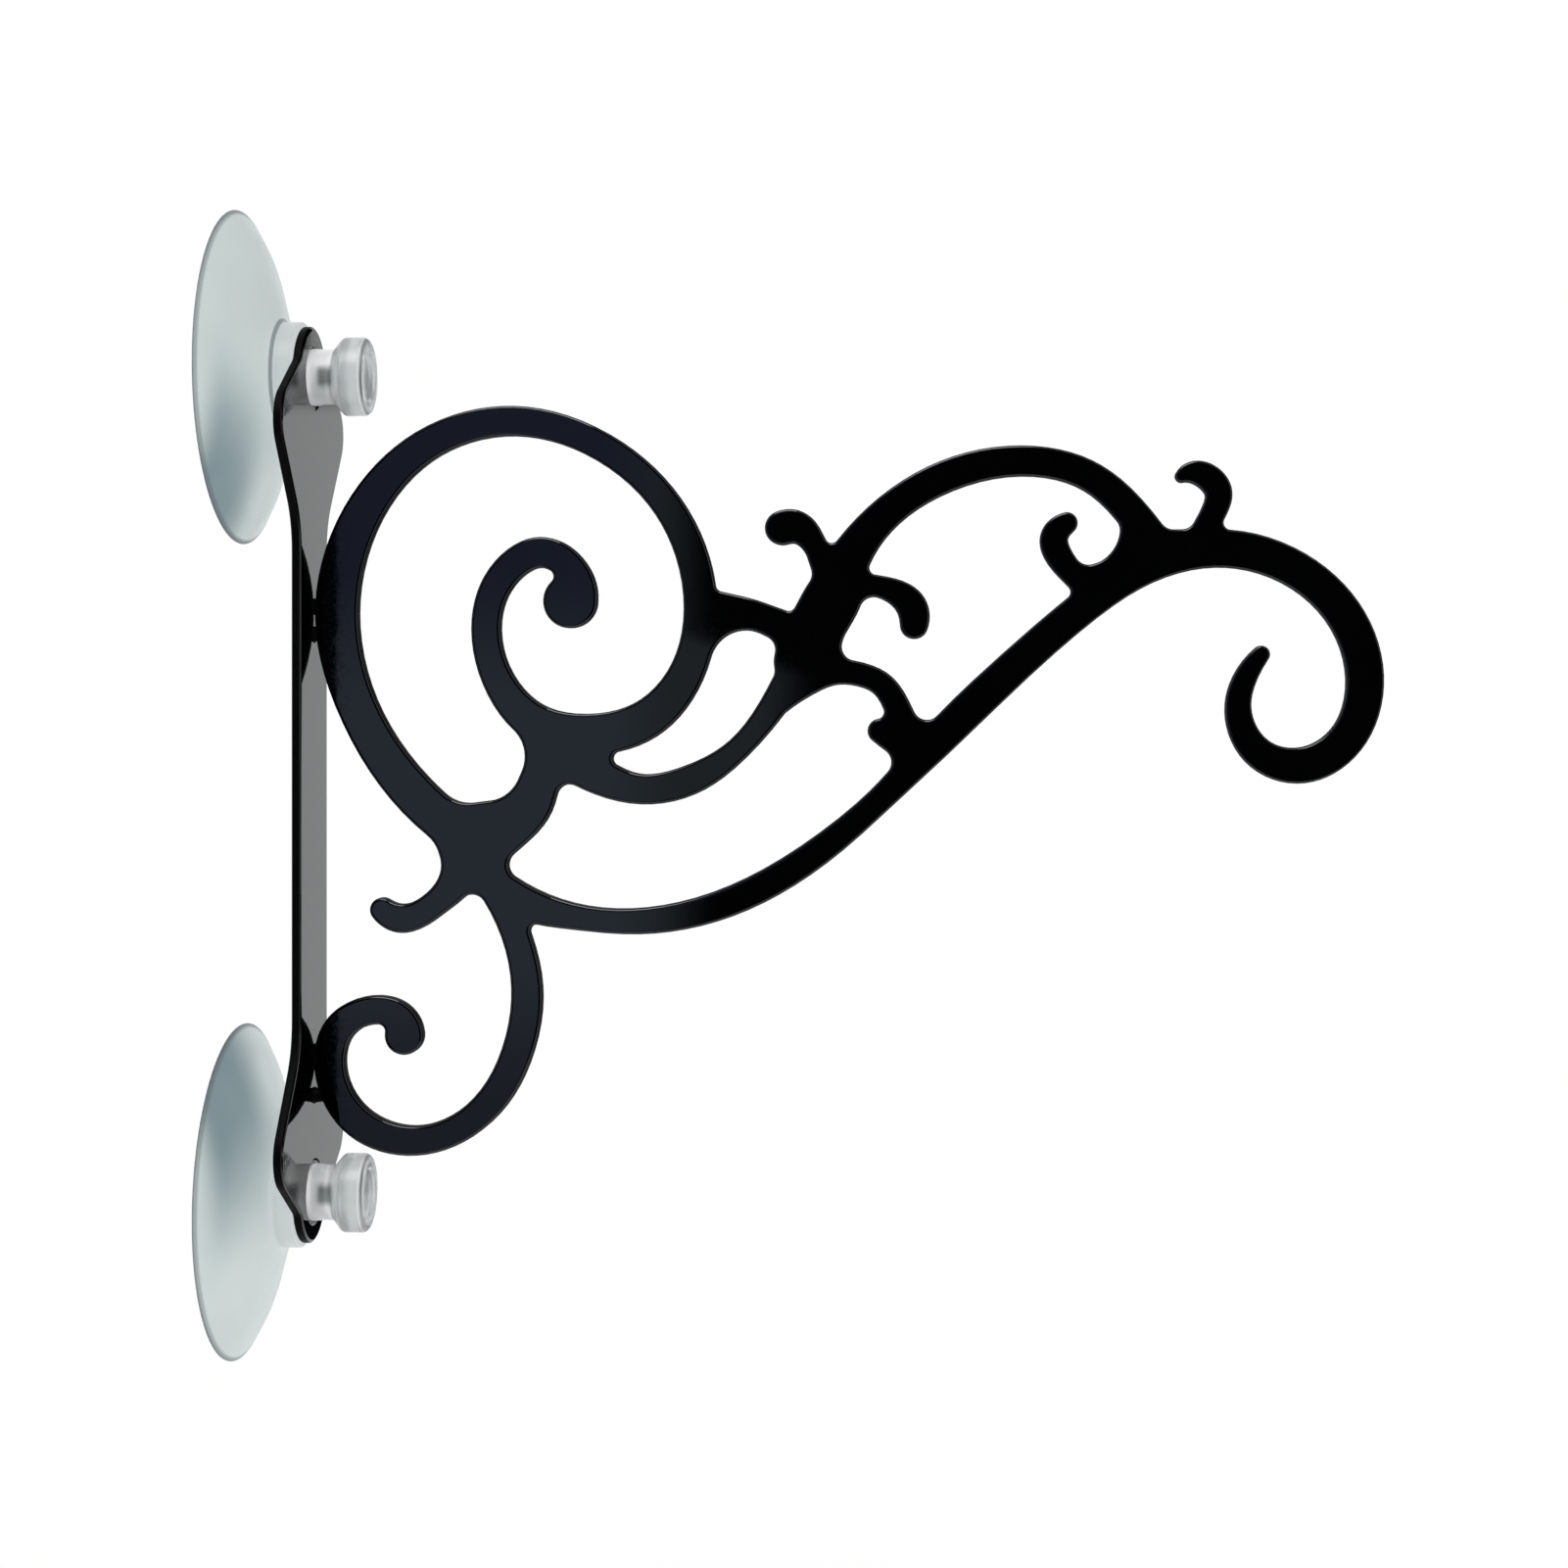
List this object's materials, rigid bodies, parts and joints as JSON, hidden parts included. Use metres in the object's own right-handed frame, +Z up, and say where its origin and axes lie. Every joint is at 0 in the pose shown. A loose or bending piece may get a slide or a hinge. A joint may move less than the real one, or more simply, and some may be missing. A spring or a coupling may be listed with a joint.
{
  "type": "window bird feeder hanger",
  "caption": "Flat scrollwork bracket standing edge-on on a spade-ended back plate, held to a window pane by clear suction cups, with a curled tail that a feeder hangs from.",
  "frame": {"origin": "on the window pane, midway between the two suction cups, in the scroll panel's middle plane", "axes": "+X away from the pane along the arm, +Y across the panel's thickness, +Z up"},
  "size_m": [0.2133, 0.063, 0.217],
  "materials": {
    "black_enamel": "gloss",
    "clear_pvc": "clear gloss"
  },
  "bodies": {
    "bracket": {"scroll_arm": "black_enamel", "back_plate": "black_enamel", "ring_weld_upper": "black_enamel", "ring_weld_lower": "black_enamel", "foot_weld_upper": "black_enamel", "foot_weld_lower": "black_enamel"},
    "upper_cup": {"upper_suction_cup": "clear_pvc"},
    "lower_cup": {"lower_suction_cup": "clear_pvc"}
  },
  "joints": [
    {"name": "upper_cup_slide", "type": "slide", "parent": "bracket", "child": "upper_cup", "axis": [-1, 0, 0], "range_m": [0, 0.004]},
    {"name": "lower_cup_slide", "type": "slide", "parent": "bracket", "child": "lower_cup", "axis": [-1, 0, 0], "range_m": [0, 0.004]}
  ]
}
